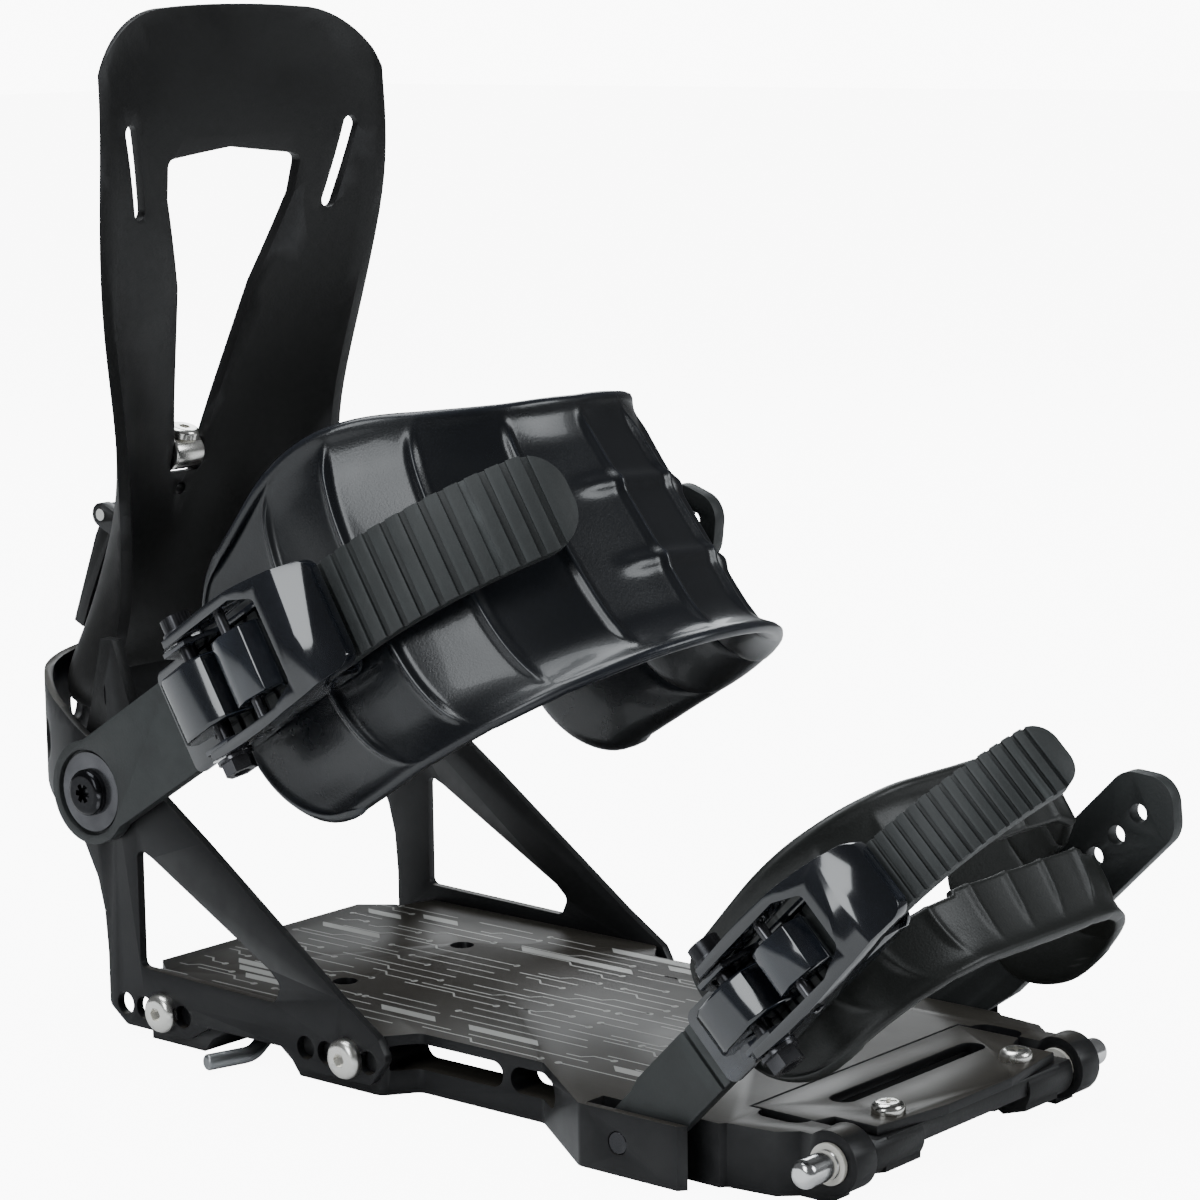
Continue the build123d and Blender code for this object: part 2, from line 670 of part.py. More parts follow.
ankle_far_holes = (83, 91, 99, 107, 115)
toe_far_holes = (44, 58, 66, 74, 82)
far_strap("ankle_far_strap", ankle, ankle_x, 124, 12.6, pivot_bolt / 2 + running, 10.4, 0, ankle_far_holes)
far_strap("toe_far_strap", toe, toe_x, 94, 6.4, toe_pin / 2 + running, 0, 6.6, toe_far_holes)

with BuildPart() as toe_hinge_pins:
    for side in (-1, 1):
        with BuildSketch(across(toe_pivot_y, toe_pivot_z, side * 48.5)):
            Circle(toe_pin / 2)
        extrude(amount=side * (toe_half - 48.5))
    chamfer(toe_hinge_pins.edges().filter_by(GeomType.CIRCLE), 0.3)
save(toe_hinge_pins, "toe_hinge_pins")


# ---------------------------------------------------------------- pads
def pad(name, plane, half, thick, corner, start, low, high, n_low, n_high, slot):
    """Moulded band round the foot.  low and high are how far its lower and upper rims reach forward."""
    root = start - 8
    with BuildPart() as band:
        for front, n in ((low, n_low), (high, n_high)):
            bend = front - corner
            with BuildSketch(plane.offset(n)):
                with BuildLine():
                    for gap in (0, thick):
                        x = half - gap
                        flat = half - corner
                        lean = (corner - gap) * (1 - sqrt(0.5))
                        Line((-x, -root), (-x, -bend))
                        ThreePointArc((-x, -bend), (-x + lean, -front + gap + lean), (-flat, -front + gap))
                        Line((-flat, -front + gap), (flat, -front + gap))
                        ThreePointArc((flat, -front + gap), (x - lean, -front + gap + lean), (x, -bend))
                        Line((x, -bend), (x, -root))
                    Line((-half, -root), (-half + thick, -root))
                    Line((half, -root), (half - thick, -root))
                make_face()
        loft(ruled=True)
        # both ends narrow towards the straps
        with BuildSketch(strap_side(plane).offset(-80)):
            with BuildLine():
                Polyline((start, -12), (start, 12), (start + 26, n_high), (start + 26, 50), (root - 1, 50),
                         (root - 1, -60), (start + 26, -60), (start + 26, n_low), (start, -12))
            make_face()
        extrude(amount=160, mode=Mode.SUBTRACT)
        if slot:
            with BuildSketch(strap_side(plane).offset(-80)):
                with Locations((high, slot[0])):
                    SlotOverall(2 * (high - slot[2]), slot[1])
            extrude(amount=160, mode=Mode.SUBTRACT)
    save(band, name)
    return band


pad("ankle_pad", ankle, 50.5, 4.0, 48, 50, 158, 139, -39, 25, None)
pad("toe_pad", toe, 48.7, 3.4, 30, 38, 80, 97, -20, 20, (0.5, 8.0, 62))


# ---------------------------------------------------------------- ratchet buckles
def buckle(prefix, plane, wide):
    """Seven pieces and a spring.  X runs along the strap, Y over its width, Z away from the boot."""
    side = side_of(plane)
    cheek_in = wide / 2 + 0.4
    cheek_out = wide / 2 + 1.5
    arm_in = wide / 2 + 1.8
    arm_out = wide / 2 + 4.3           # widest point of the bowed lever arms
    collar = arm_out - 0.5             # seat of the axle screw head and nut
    block_half = 0.35 * wide           # half width of the thumb block and of the drive pawl

    with BuildPart() as frame:
        with BuildSketch(plane.offset(-strap_thick - floor_drop)):
            with Locations(((frame_end - 9) / 2, 0)):
                RectangleRounded(frame_end + 9, 2 * cheek_out, 3.0)
        extrude(amount=1.0)
        # tail plate over the strap where it runs in
        with BuildSketch(plane.offset(0.4)):
            with Locations((-11.5, 0)):
                RectangleRounded(13, 2 * cheek_out, 2.5)
        extrude(amount=1.0)
        for hand in (-1, 1):
            with BuildSketch(side.offset(-hand * cheek_in)):
                with BuildLine():
                    Polyline((-7.5, -5.8), (-7.5, 2), (-4.5, 9.4), (3.5, 9.4), (8.5, 1.6), (frame_end - 4, 0.6),
                             (frame_end - 2, -5.8), (-7.5, -5.8))
                make_face()
            extrude(amount=-hand * (cheek_out - cheek_in))
        with BuildSketch(side.offset(-30)):
            with Locations((0, axle_high)):
                Circle(axle_dia / 2 + 0.02)
        extrude(amount=60, mode=Mode.SUBTRACT)
        with BuildSketch(plane.offset(-20)):
            with Locations((buckle_screw_at, 0)):
                Circle(2.5)
        extrude(amount=16, mode=Mode.SUBTRACT)
    save(frame, prefix + "_buckle_frame")

    with BuildPart() as lever:
        with BuildSketch(side.offset(-arm_out)):
            with BuildLine():
                Polyline((-4.5, 2.2), (-4.5, 8.6), (-1.5, 11.0), (10, 11.2), (26, 11.6), (37, 9.6),
                         (lever_long, 4.6), (lever_long, 1.4), (38, 4.4), (30, 5.2), (12, 3.4), (4, 1.8),
                         (-3, 1.2), (-4.5, 2.2))
            make_face()
        extrude(amount=2 * arm_out)
        # arms bow outwards and close to the width of the strap at the arch
        with BuildSketch(plane.offset(-2)) as plan:
            with BuildLine():
                ThreePointArc((-6, arm_out - 1.2), (16, arm_out), (lever_long, cheek_in + 0.9))
                Line((lever_long, cheek_in + 0.9), (lever_long, -cheek_in - 0.9))
                ThreePointArc((lever_long, -cheek_in - 0.9), (16, -arm_out), (-6, 1.2 - arm_out))
                Line((-6, 1.2 - arm_out), (-6, arm_out - 1.2))
            make_face()
            fillet(plan.vertices().filter_by(lambda v: v.X > 30), 3.2)
        extrude(amount=20, mode=Mode.INTERSECT)
        with BuildSketch(plane.offset(-4)) as inside:
            with BuildLine():
                Polyline((-9, arm_in), (24, arm_in), (30.5, arm_in - 2.9), (30.5, 2.9 - arm_in), (24, -arm_in),
                         (-9, -arm_in), (-9, arm_in))
            make_face()
            fillet(inside.vertices().filter_by(lambda v: v.X > 20), 1.8)
        extrude(amount=20, mode=Mode.SUBTRACT)
        for along, high, radius in ((0, axle_high, axle_dia / 2 + running), (pawl_at, 7.4, 1.28)):
            with BuildSketch(side.offset(-30)):
                with Locations((along, high)):
                    Circle(radius)
            extrude(amount=60, mode=Mode.SUBTRACT)
    save(lever, prefix + "_buckle_lever")

    with BuildPart() as pawl_pin:
        with BuildSketch(side.offset(-collar + 0.2)):
            with Locations((pawl_at, 7.4)):
                Circle(1.26)
        extrude(amount=2 * collar - 0.4)
    save(pawl_pin, prefix + "_pawl_pin")

    with BuildPart() as drive_pawl:
        with BuildSketch(side.offset(-block_half)):
            with BuildLine():
                Polyline((10.5, 6.0), (11.1, 9.6), (15.5, 11.0), (21.5, 9.4), (24, 5.6), (21.5, 0.5), (18.9, 1.6),
                         (14, 3.6), (10.5, 6.0))
            make_face()
            with Locations((pawl_at, 7.4)):
                Circle(1.26 + running, mode=Mode.SUBTRACT)
        extrude(amount=2 * block_half)
    save(drive_pawl, prefix + "_drive_pawl")

    with BuildPart() as release:
        with BuildSketch(side.offset(-block_half)):
            with BuildLine():
                Polyline((-10.5, 4.8), (-10.2, 8.4), (-7, 10.6), (2, 11.6), (6.4, 9.4), (8.2, 5.0), (9.2, 0.6),
                         (6.6, 1.2), (3.5, 1.0), (-3.5, 1.0), (-6.5, 3.6), (-10.5, 4.8))
            make_face()
            with Locations((0, axle_high)):
                Circle(axle_dia / 2 + running, mode=Mode.SUBTRACT)
        extrude(amount=2 * block_half)
        fillet(release.edges().filter_by(
            lambda e: abs(plane.to_local_coords(e.center()).Y) > block_half - 0.1
            and plane.to_local_coords(e.center()).Z > 7), 0.9)
        with BuildSketch(side.offset(-3.0)):
            with Locations((0, axle_high)):
                Circle(3.9)
        extrude(amount=6.0, mode=Mode.SUBTRACT)
    save(release, prefix + "_release_tab")

    with BuildPart() as axle:
        with BuildSketch(side.offset(-collar - 4.5)):
            with Locations((0, axle_high)):
                Circle(axle_dia / 2)
        extrude(amount=2 * collar + 7.5)
        with BuildSketch(side.offset(-collar - 4.5)):
            with Locations((0, axle_high)):
                Circle(3.6)
        extrude(amount=3.4)
        with BuildSketch(side.offset(-collar - 1.1)):
            with Locations((0, axle_high)):
                Circle(4.2)
        extrude(amount=0.8)
        with BuildSketch(side.offset(-collar - 4.6)):
            with Locations((0, axle_high)):
                RegularPolygon(1.6, 6)
        extrude(amount=1.9, mode=Mode.SUBTRACT)
    save(axle, prefix + "_axle_screw")

    with BuildPart() as nut:
        with BuildSketch(side.offset(collar + 0.3)):
            with Locations((0, axle_high)):
                Circle(4.4)
                Circle(axle_dia / 2 + 0.02, mode=Mode.SUBTRACT)
        extrude(amount=0.8)
        with BuildSketch(side.offset(collar + 1.1)):
            with Locations((0, axle_high)):
                RegularPolygon(3.9, 6)
                Circle(axle_dia / 2 + 0.02, mode=Mode.SUBTRACT)
        extrude(amount=3.2)
    save(nut, prefix + "_axle_nut")

    coil_start = side.offset(-2.2).from_local_coords((0, axle_high, 0))
    coil = Helix(pitch=1.1, height=4.4, radius=3.1, center=coil_start, direction=side.z_dir)
    with BuildPart() as spring:
        with BuildSketch(Plane(origin=coil @ 0, z_dir=coil % 0)):
            Circle(0.4)
        sweep(path=coil, is_frenet=True)
    save(spring, prefix + "_release_spring")

    with BuildPart() as screw:
        with BuildSketch(plane.offset(1.0 - strap_thick - floor_drop)):
            with Locations((buckle_screw_at, 0)):
                Circle(4.2)
        extrude(amount=0.8)
        with BuildSketch(plane.offset(1.0 - strap_thick - floor_drop)):
            with Locations((buckle_screw_at, 0)):
                Circle(2.45)
        extrude(amount=-4.4)
    save(screw, prefix + "_buckle_screw")


ankle_seat = walk(((57.0, 0, 0),), ankle_x, strap_thick / 2)[0][0][2]
toe_seat = walk(((26.0, 0, 0), (0, 40.0, 2), (24.2, 0, 0)), toe_x, strap_thick / 2)[2][0][2]
ankle_buckle = buckle_plane(ankle, ankle_seat[0], -ankle_seat[1], 0)
toe_buckle = buckle_plane(toe, toe_seat[0], -toe_seat[1], 2)
buckle("ankle", ankle_buckle, ankle_wide)
buckle("toe", toe_buckle, toe_wide)

# screws and nuts that hold the far straps to the pads
for name, plane, middle, holes in (("ankle_far_screws", ankle, ankle_x, (83, 99)),
                                   ("toe_far_screws", toe, toe_x, (44, 58))):
    side = strap_side(plane)
    with BuildPart() as far_screws:
        for along in holes:
            with BuildSketch(side.offset(-middle - strap_thick / 2 - 1.6)):
                with Locations((along, 0)):
                    Circle(3.8)
            extrude(amount=1.6)
            with BuildSketch(side.offset(-middle - strap_thick / 2)):
                with Locations((along, 0)):
                    Circle(2.15)
            extrude(amount=strap_thick + 4.0)
    save(far_screws, name)
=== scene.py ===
import json
import math
import random

import bmesh
import bpy
from mathutils import Matrix, Vector


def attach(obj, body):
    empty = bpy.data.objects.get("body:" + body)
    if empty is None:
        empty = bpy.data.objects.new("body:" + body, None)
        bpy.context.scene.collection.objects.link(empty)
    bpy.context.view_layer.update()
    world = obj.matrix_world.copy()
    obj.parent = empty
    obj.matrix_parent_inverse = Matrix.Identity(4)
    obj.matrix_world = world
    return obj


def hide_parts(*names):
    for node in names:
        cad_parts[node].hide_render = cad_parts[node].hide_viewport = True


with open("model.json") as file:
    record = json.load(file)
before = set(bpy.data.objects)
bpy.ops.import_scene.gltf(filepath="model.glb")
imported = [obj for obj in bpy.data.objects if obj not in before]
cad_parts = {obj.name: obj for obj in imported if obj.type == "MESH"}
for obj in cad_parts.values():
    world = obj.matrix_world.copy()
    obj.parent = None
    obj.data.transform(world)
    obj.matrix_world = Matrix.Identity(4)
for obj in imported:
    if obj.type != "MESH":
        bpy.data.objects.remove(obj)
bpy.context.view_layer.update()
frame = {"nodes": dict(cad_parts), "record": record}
nodes = frame["nodes"]
slotOf = {row["node"]: row["material_slot"] for row in frame["record"]["subparts"]}
bodyOf = {}
for bodyName, members in frame["record"]["behaviour"]["bodies"].items():
    for member in members:
        bodyOf[member] = bodyName
print("frame loaded:", len(nodes), "nodes")

mm = 0.001


def pickOnly(piece):
    bpy.ops.object.select_all(action="DESELECT")
    piece.select_set(True)
    bpy.context.view_layer.objects.active = piece


# camera
cameraSet = {"place": (-0.617605, -0.528580, 0.246408), "azimuth": -49.793, "elevation": 9.566,
             "roll": -0.7, "lens": 107.75, "sensor": 36, "clipNear": 0.05, "clipFar": 20}


def makeCamera(spec):
    a, e, r = (math.radians(spec[k]) for k in ("azimuth", "elevation", "roll"))
    back = Vector((math.sin(a) * math.cos(e), -math.cos(a) * math.cos(e), math.sin(e)))
    right = Vector((0, 0, 1)).cross(back).normalized()
    up = back.cross(right)
    rolledRight = right * math.cos(r) + up * math.sin(r)
    rolledUp = up * math.cos(r) - right * math.sin(r)
    bpy.ops.object.camera_add(location=spec["place"])
    camera = bpy.context.object
    camera.name = "productCamera"
    turn = Matrix((rolledRight, rolledUp, back)).transposed().to_4x4()
    camera.matrix_world = Matrix.Translation(Vector(spec["place"])) @ turn
    camera.data.lens = spec["lens"]
    camera.data.sensor_width = spec["sensor"]
    camera.data.clip_start = spec["clipNear"]
    camera.data.clip_end = spec["clipFar"]
    bpy.context.scene.camera = camera


makeCamera(cameraSet)
print("camera set")

# studio: pale floor, bright backdrop and soft boxes
studioSet = {
    "floorSize": 14.0, "floorColor": (0.92, 0.92, 0.92), "floorRoughness": 0.9, "floorGlow": 9.0,
    "backdrop": 10.0, "surround": 0.12, "surroundColor": (0.95, 0.97, 1.0), "boxColor": (0.93, 0.97, 1.0),
    "boxes": [  # place, aimed at, width, height, watts
        ((-0.10, 0.35, 1.30), (0.0, 0.0, 0.10), 1.10, 0.70, 17.0),
        ((-1.30, -0.10, 0.75), (0.0, 0.0, 0.12), 0.50, 0.90, 9.0),
        ((0.55, -1.15, 0.80), (0.0, -0.05, 0.08), 0.70, 0.60, 8.0),
        ((1.00, 0.80, 0.75), (0.0, 0.05, 0.12), 0.50, 0.50, 4.0),
    ]}


def makeStudio(spec):
    bpy.ops.mesh.primitive_plane_add(size=spec["floorSize"], location=(0, 0, 0))
    floor = bpy.context.object
    floor.name = "studioFloor"
    paint = bpy.data.materials.new("floorPaint")
    paint.use_nodes = True
    shader = paint.node_tree.nodes["Principled BSDF"]
    shader.inputs["Base Color"].default_value = (*spec["floorColor"], 1)
    shader.inputs["Roughness"].default_value = spec["floorRoughness"]
    shader.inputs["Emission Color"].default_value = (1, 1, 1, 1)
    direct = paint.node_tree.nodes.new("ShaderNodeLightPath")
    glow = paint.node_tree.nodes.new("ShaderNodeMath")
    glow.operation = "MULTIPLY"
    glow.inputs[1].default_value = spec["floorGlow"]
    paint.node_tree.links.new(direct.outputs["Is Camera Ray"], glow.inputs[0])
    paint.node_tree.links.new(glow.outputs["Value"], shader.inputs["Emission Strength"])
    floor.data.materials.append(paint)

    world = bpy.data.worlds.new("studioWorld")
    bpy.context.scene.world = world
    world.use_nodes = True
    tree = world.node_tree
    tree.nodes.clear()
    seen = tree.nodes.new("ShaderNodeBackground")
    seen.inputs["Color"].default_value = (1, 1, 1, 1)
    seen.inputs["Strength"].default_value = spec["backdrop"]
    felt = tree.nodes.new("ShaderNodeBackground")
    felt.inputs["Color"].default_value = (*spec["surroundColor"], 1)
    felt.inputs["Strength"].default_value = spec["surround"]
    path = tree.nodes.new("ShaderNodeLightPath")
    mix = tree.nodes.new("ShaderNodeMixShader")
    out = tree.nodes.new("ShaderNodeOutputWorld")
    tree.links.new(path.outputs["Is Camera Ray"], mix.inputs["Fac"])
    tree.links.new(felt.outputs["Background"], mix.inputs[1])
    tree.links.new(seen.outputs["Background"], mix.inputs[2])
    tree.links.new(mix.outputs["Shader"], out.inputs["Surface"])

    for place, aim, width, height, watts in spec["boxes"]:
        bpy.ops.object.light_add(type="AREA", location=place)
        lamp = bpy.context.object
        lamp.data.shape = "RECTANGLE"
        lamp.data.size = width
        lamp.data.size_y = height
        lamp.data.energy = watts
        lamp.data.color = spec["boxColor"]
        away = Vector(place) - Vector(aim)
        lamp.rotation_euler = away.to_track_quat("Z", "Y").to_euler()


makeStudio(studioSet)
print("studio lit")


# shared surface effects
grainSet = {"detail": 2.0, "cellShare": 0.6}
handlingSet = {"detail": 5.0, "from": 0.35, "to": 0.65}


def newGroup(name, inputs, outputs):
    group = bpy.data.node_groups.new(name, "ShaderNodeTree")
    for label, start in inputs:
        socket = group.interface.new_socket(name=label, in_out="INPUT", socket_type="NodeSocketFloat")
        socket.default_value = start
    for label in outputs:
        group.interface.new_socket(name=label, in_out="OUTPUT", socket_type="NodeSocketFloat")
    return group, group.nodes.new("NodeGroupInput"), group.nodes.new("NodeGroupOutput")


def makeGrain(spec):
    group, given, made = newGroup("mouldGrain", [("Scale", 900.0), ("Depth", 1.0)], ["Height"])
    link = group.links.new
    place = group.nodes.new("ShaderNodeTexCoord")
    fine = group.nodes.new("ShaderNodeTexNoise")
    fine.inputs["Detail"].default_value = spec["detail"]
    cells = group.nodes.new("ShaderNodeTexVoronoi")
    share = group.nodes.new("ShaderNodeMath")
    share.operation = "MULTIPLY"
    share.inputs[1].default_value = spec["cellShare"]
    total = group.nodes.new("ShaderNodeMath")
    total.operation = "ADD"
    deep = group.nodes.new("ShaderNodeMath")
    deep.operation = "MULTIPLY"
    link(place.outputs["Object"], fine.inputs["Vector"])
    link(place.outputs["Object"], cells.inputs["Vector"])
    link(given.outputs["Scale"], fine.inputs["Scale"])
    link(given.outputs["Scale"], cells.inputs["Scale"])
    link(cells.outputs["Distance"], share.inputs[0])
    link(fine.outputs["Fac"], total.inputs[0])
    link(share.outputs[0], total.inputs[1])
    link(total.outputs[0], deep.inputs[0])
    link(given.outputs["Depth"], deep.inputs[1])
    link(deep.outputs[0], made.inputs["Height"])
    return group


def makeHandling(spec):
    group, given, made = newGroup("handlingMarks", [("Scale", 30.0), ("Low", 0.3), ("High", 0.5)],
                                  ["Roughness", "Cloud"])
    link = group.links.new
    place = group.nodes.new("ShaderNodeTexCoord")
    cloud = group.nodes.new("ShaderNodeTexNoise")
    cloud.inputs["Detail"].default_value = spec["detail"]
    spread = group.nodes.new("ShaderNodeMapRange")
    spread.inputs["From Min"].default_value = spec["from"]
    spread.inputs["From Max"].default_value = spec["to"]
    link(place.outputs["Object"], cloud.inputs["Vector"])
    link(given.outputs["Scale"], cloud.inputs["Scale"])
    link(cloud.outputs["Fac"], spread.inputs["Value"])
    link(given.outputs["Low"], spread.inputs["To Min"])
    link(given.outputs["High"], spread.inputs["To Max"])
    link(spread.outputs["Result"], made.inputs["Roughness"])
    link(cloud.outputs["Fac"], made.inputs["Cloud"])
    return group


def makeEdgeWear():
    group, given, made = newGroup("edgeWear", [("Start", 0.52), ("Full", 0.62), ("Breakup", 120.0)], ["Mask"])
    link = group.links.new
    shape = group.nodes.new("ShaderNodeNewGeometry")
    place = group.nodes.new("ShaderNodeTexCoord")
    chips = group.nodes.new("ShaderNodeTexNoise")
    rise = group.nodes.new("ShaderNodeMapRange")
    both = group.nodes.new("ShaderNodeMath")
    both.operation = "MULTIPLY"
    link(place.outputs["Object"], chips.inputs["Vector"])
    link(given.outputs["Breakup"], chips.inputs["Scale"])
    link(shape.outputs["Pointiness"], rise.inputs["Value"])
    link(given.outputs["Start"], rise.inputs["From Min"])
    link(given.outputs["Full"], rise.inputs["From Max"])
    link(rise.outputs["Result"], both.inputs[0])
    link(chips.outputs["Fac"], both.inputs[1])
    link(both.outputs[0], made.inputs["Mask"])
    return group


grainGroup = makeGrain(grainSet)
handlingGroup = makeHandling(handlingSet)
edgeGroup = makeEdgeWear()

finishes = {  # colour, worn edge colour, metal, rough from, rough to, grain size, grain depth, coat, shine
    "black_anodised": ((0.007, 0.007, 0.008), (0.08, 0.08, 0.08), 0.25, 0.36, 0.48, 2600, 0.10, 0.0, 0.35),
    "stainless": ((0.78, 0.76, 0.72), (0.95, 0.95, 0.93), 1.0, 0.14, 0.30, 1800, 0.06, 0.0, 0.5),
    "bright_steel": ((0.82, 0.82, 0.82), (0.95, 0.95, 0.95), 1.0, 0.12, 0.24, 1500, 0.05, 0.0, 0.5),
    "grey_steel": ((0.30, 0.31, 0.32), (0.50, 0.50, 0.50), 1.0, 0.32, 0.50, 1500, 0.10, 0.0, 0.5),
    "pale_bushing": ((0.70, 0.67, 0.58), (0.85, 0.83, 0.78), 0.0, 0.40, 0.55, 1200, 0.08, 0.0, 0.5),
    "black_steel": ((0.010, 0.010, 0.012), (0.16, 0.16, 0.17), 0.7, 0.18, 0.34, 1800, 0.08, 0.0, 0.5),
    "gloss_black_metal": ((0.003, 0.004, 0.006), (0.05, 0.055, 0.07), 0.0, 0.09, 0.17, 700, 0.003, 0.9, 0.5),
    "gloss_black_polymer": ((0.004, 0.005, 0.007), (0.05, 0.06, 0.08), 0.0, 0.10, 0.19, 700, 0.003, 0.8, 0.5),
    "black_nylon": ((0.006, 0.006, 0.006), (0.040, 0.040, 0.042), 0.0, 0.36, 0.48, 1500, 0.22, 0.0, 0.32),
    "strap_polymer": ((0.020, 0.022, 0.022), (0.09, 0.10, 0.10), 0.0, 0.48, 0.62, 1300, 0.28, 0.0, 0.42),
    "ankle_pad_tpu": ((0.004, 0.005, 0.007), (0.050, 0.058, 0.080), 0.0, 0.26, 0.36, 1900, 0.20, 0.22, 0.5),
    "toe_pad_rubber": ((0.008, 0.009, 0.008), (0.050, 0.052, 0.050), 0.0, 0.38, 0.50, 1700, 0.28, 0.0, 0.45),
}

finishShared = {"coatRoughness": 0.06, "handlingScale": 28, "darkTone": 0.75, "paleTone": 1.3,
                "grainReach": 0.0001}


def makeFinish(slotName, spec, shared):
    color, edgeColor, metal, roughLow, roughHigh, grainScale, grainDepth, coat, shine = spec
    finish = bpy.data.materials.new(slotName + "Finish")
    finish.use_nodes = True
    tree = finish.node_tree
    link = tree.links.new
    shader = tree.nodes["Principled BSDF"]
    shader.inputs["Metallic"].default_value = metal
    shader.inputs["Specular IOR Level"].default_value = shine
    shader.inputs["Coat Weight"].default_value = coat
    shader.inputs["Coat Roughness"].default_value = shared["coatRoughness"]
    grain = tree.nodes.new("ShaderNodeGroup")
    grain.node_tree = grainGroup
    grain.inputs["Scale"].default_value = grainScale
    handling = tree.nodes.new("ShaderNodeGroup")
    handling.node_tree = handlingGroup
    handling.inputs["Scale"].default_value = shared["handlingScale"]
    handling.inputs["Low"].default_value = roughLow
    handling.inputs["High"].default_value = roughHigh
    wear = tree.nodes.new("ShaderNodeGroup")
    wear.node_tree = edgeGroup
    tone = tree.nodes.new("ShaderNodeMix")
    tone.data_type = "RGBA"
    tone.inputs["A"].default_value = (*[c * shared["darkTone"] for c in color], 1)
    tone.inputs["B"].default_value = (*[min(1, c * shared["paleTone"]) for c in color], 1)
    edge = tree.nodes.new("ShaderNodeMix")
    edge.data_type = "RGBA"
    edge.inputs["B"].default_value = (*edgeColor, 1)
    bump = tree.nodes.new("ShaderNodeBump")
    bump.inputs["Strength"].default_value = grainDepth
    bump.inputs["Distance"].default_value = shared["grainReach"]
    link(handling.outputs["Cloud"], tone.inputs["Factor"])
    link(tone.outputs["Result"], edge.inputs["A"])
    link(wear.outputs["Mask"], edge.inputs["Factor"])
    link(edge.outputs["Result"], shader.inputs["Base Color"])
    link(handling.outputs["Roughness"], shader.inputs["Roughness"])
    link(grain.outputs["Height"], bump.inputs["Height"])
    link(bump.outputs["Normal"], shader.inputs["Normal"])
    return finish


finishOf = {slotName: makeFinish(slotName, spec, finishShared) for slotName, spec in finishes.items()}

# painted top light: faces that look up are given a lighter, browner tone than the rails; the streaks along them
# are brushed grain
topLightDeck = {"color": (0.040, 0.036, 0.030), "facingFrom": 0.85, "facingTo": 0.97, "layScale": (2200, 60, 60),
            "darkTone": 0.85, "paleTone": 1.15}


def paintTopLight(finish, spec):
    tree = finish.node_tree
    shader = tree.nodes["Principled BSDF"]
    before = shader.inputs["Base Color"].links[0].from_socket
    place = tree.nodes.new("ShaderNodeTexCoord")
    parts = tree.nodes.new("ShaderNodeSeparateXYZ")
    facing = tree.nodes.new("ShaderNodeMapRange")
    facing.inputs["From Min"].default_value = spec["facingFrom"]
    facing.inputs["From Max"].default_value = spec["facingTo"]
    brushed = tree.nodes.new("ShaderNodeMapping")
    brushed.inputs["Scale"].default_value = spec["layScale"]
    lay = tree.nodes.new("ShaderNodeTexNoise")
    lay.inputs["Scale"].default_value = 1.0
    shade = tree.nodes.new("ShaderNodeMix")
    shade.data_type = "RGBA"
    shade.inputs["A"].default_value = (*[c * spec["darkTone"] for c in spec["color"]], 1)
    shade.inputs["B"].default_value = (*[c * spec["paleTone"] for c in spec["color"]], 1)
    topLit = tree.nodes.new("ShaderNodeMix")
    topLit.data_type = "RGBA"
    link = tree.links.new
    link(place.outputs["Normal"], parts.inputs["Vector"])
    link(parts.outputs["Z"], facing.inputs["Value"])
    link(place.outputs["Object"], brushed.inputs["Vector"])
    link(brushed.outputs["Vector"], lay.inputs["Vector"])
    link(lay.outputs["Fac"], shade.inputs["Factor"])
    # painted top light: faces whose normal points up take the lighter, browner deck colour
    link(facing.outputs["Result"], topLit.inputs["Factor"])
    link(before, topLit.inputs["A"])
    link(shade.outputs["Result"], topLit.inputs["B"])
    link(topLit.outputs["Result"], shader.inputs["Base Color"])


# painted top light on every up-facing face of the black anodised finish
paintTopLight(finishOf["black_anodised"], topLightDeck)


def dress(piece, finish):
    piece.data.materials.clear()
    piece.data.materials.append(finish)


for name, node in nodes.items():
    dress(node, finishOf[slotOf[name]])
print("finishes on", len(nodes), "nodes")

# hard parts: a merged copy of the solid with its edges broken
edgeBreaks = {  # node: (piece, edge radius in mm)
    "base_plate": ("basePlate", 0.35), "heel_loop": ("heelLoop", 0.30), "highback": ("highbackShell", 0.80),
    "ramp_plate": ("rampPlate", 0.30), "ramp_body": ("rampBody", 0.40), "lean_lever": ("leanLever", 0.50),
    "ankle_ladder": ("ankleLadder", 0.30), "toe_ladder": ("toeLadder", 0.30),
    "ankle_far_strap": ("ankleFarStrap", 0.60), "toe_far_strap": ("toeFarStrap", 0.60),
    "rail_bar": ("railBar", 0.20), "lean_barrel": ("leanBarrel", 0.20),
}
for prefix in ("ankle", "toe"):
    edgeBreaks[prefix + "_buckle_frame"] = (prefix + "BuckleFrame", 0.30)
    edgeBreaks[prefix + "_buckle_lever"] = (prefix + "BuckleLever", 0.60)
    edgeBreaks[prefix + "_drive_pawl"] = (prefix + "DrivePawl", 0.60)
    edgeBreaks[prefix + "_release_tab"] = (prefix + "ReleaseTab", 0.80)


edgeSet = {"merge": 0.000004, "flatAngle": 0.8, "sharpAngle": 34, "segments": 2}


